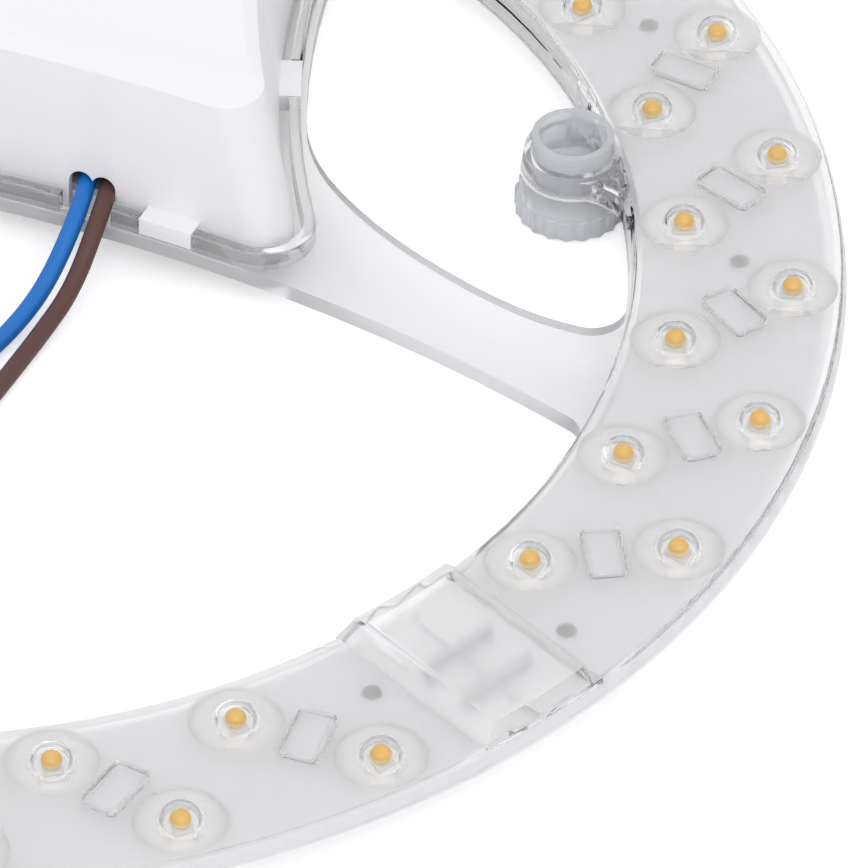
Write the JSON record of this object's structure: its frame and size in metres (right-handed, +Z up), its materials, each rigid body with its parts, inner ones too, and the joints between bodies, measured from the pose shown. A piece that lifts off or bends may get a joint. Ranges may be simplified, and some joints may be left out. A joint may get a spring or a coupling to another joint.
{
  "type": "magnetic led ceiling lamp module",
  "caption": "Flat light ring with domed clear lenses over white boards, a raised white driver box on side arms inside it, screw-adjusted magnet feet and two mains leads.",
  "frame": {"origin": "on the axis of the light ring, at the level of the magnets' lower faces", "axes": "+Z up, away from the ceiling base that the magnets hold to, on the light side; +Y towards the driver box; the mains leads leave towards -Y"},
  "size_m": [0.24, 0.24, 0.0275],
  "materials": {
    "clear_plastic": "clear moulded polycarbonate, glossy",
    "white_board": "white solder mask on an aluminium board",
    "light_phosphor": "yellow phosphor gel in a white package",
    "tinned_wire": "bright tinned copper",
    "solder": "bright solder",
    "white_plastic": "fine matt white moulding",
    "green_board": "green solder mask",
    "ferrite": "dull dark ferrite",
    "winding_tape": "yellow polyester tape",
    "capacitor_sleeve": "dark shrink sleeve",
    "film_case": "moulded box",
    "black_package": "black moulded package",
    "resistor_sleeve": "black shrink sleeve",
    "white_insulation": "white wire insulation",
    "red_insulation": "red wire insulation",
    "foot_plastic": "frosted clear moulding",
    "magnet_metal": "nickel-plated magnet",
    "blue_insulation": "blue wire insulation",
    "brown_insulation": "brown wire insulation"
  },
  "bodies": {
    "frame": {"lens_frame": "clear_plastic", "light_board_1": "white_board", "light_board_2": "white_board", "light_board_3": "white_board", "lights_1": "light_phosphor", "lights_2": "light_phosphor", "lights_3": "light_phosphor", "board_jumpers_1": "tinned_wire", "board_jumpers_2": "tinned_wire", "board_jumpers_3": "tinned_wire", "blue_lead_tip": "tinned_wire", "brown_lead_tip": "tinned_wire", "solder_joints": "solder", "driver_cover": "white_plastic", "driver_board": "green_board", "transformer_core": "ferrite", "filter_choke": "ferrite", "transformer_winding": "winding_tape", "input_capacitor": "capacitor_sleeve", "output_capacitor": "capacitor_sleeve", "film_capacitor": "film_case", "bridge_rectifier": "black_package", "control_chip": "black_package", "fuse_resistor": "resistor_sleeve", "output_lead_minus": "white_insulation", "output_lead_plus": "red_insulation", "blue_lead": "blue_insulation", "brown_lead": "brown_insulation"},
    "magnet_body_1": {"foot_magnet_1": "magnet_metal"},
    "cup_body_1": {"foot_cup_1": "foot_plastic"},
    "magnet_body_2": {"foot_magnet_2": "magnet_metal"},
    "cup_body_2": {"foot_cup_2": "foot_plastic"},
    "magnet_body_3": {"foot_magnet_3": "magnet_metal"},
    "cup_body_3": {"foot_cup_3": "foot_plastic"}
  },
  "joints": [
    {"name": "foot_1_height", "type": "slide", "parent": "frame", "child": "magnet_body_1", "axis": [0, 0, -1], "range_m": [0, 0.004]},
    {"name": "foot_1_turn", "type": "hinge", "parent": "magnet_body_1", "child": "cup_body_1", "pos_m": [0.07543, 0.04355, 0.006], "axis": [0, 0, -1], "range_deg": [0, 720]},
    {"name": "foot_2_height", "type": "slide", "parent": "frame", "child": "magnet_body_2", "axis": [0, 0, -1], "range_m": [0, 0.004]},
    {"name": "foot_2_turn", "type": "hinge", "parent": "magnet_body_2", "child": "cup_body_2", "pos_m": [-0.07543, 0.04355, 0.006], "axis": [0, 0, -1], "range_deg": [0, 720]},
    {"name": "foot_3_height", "type": "slide", "parent": "frame", "child": "magnet_body_3", "axis": [0, 0, -1], "range_m": [0, 0.004]},
    {"name": "foot_3_turn", "type": "hinge", "parent": "magnet_body_3", "child": "cup_body_3", "pos_m": [0, -0.0871, 0.006], "axis": [0, 0, -1], "range_deg": [0, 720]}
  ],
  "couplings": [
    {"joint": "foot_1_turn", "follows": "foot_1_height", "rad_per_m": 3141.6},
    {"joint": "foot_2_turn", "follows": "foot_2_height", "rad_per_m": 3141.6},
    {"joint": "foot_3_turn", "follows": "foot_3_height", "rad_per_m": 3141.6}
  ]
}
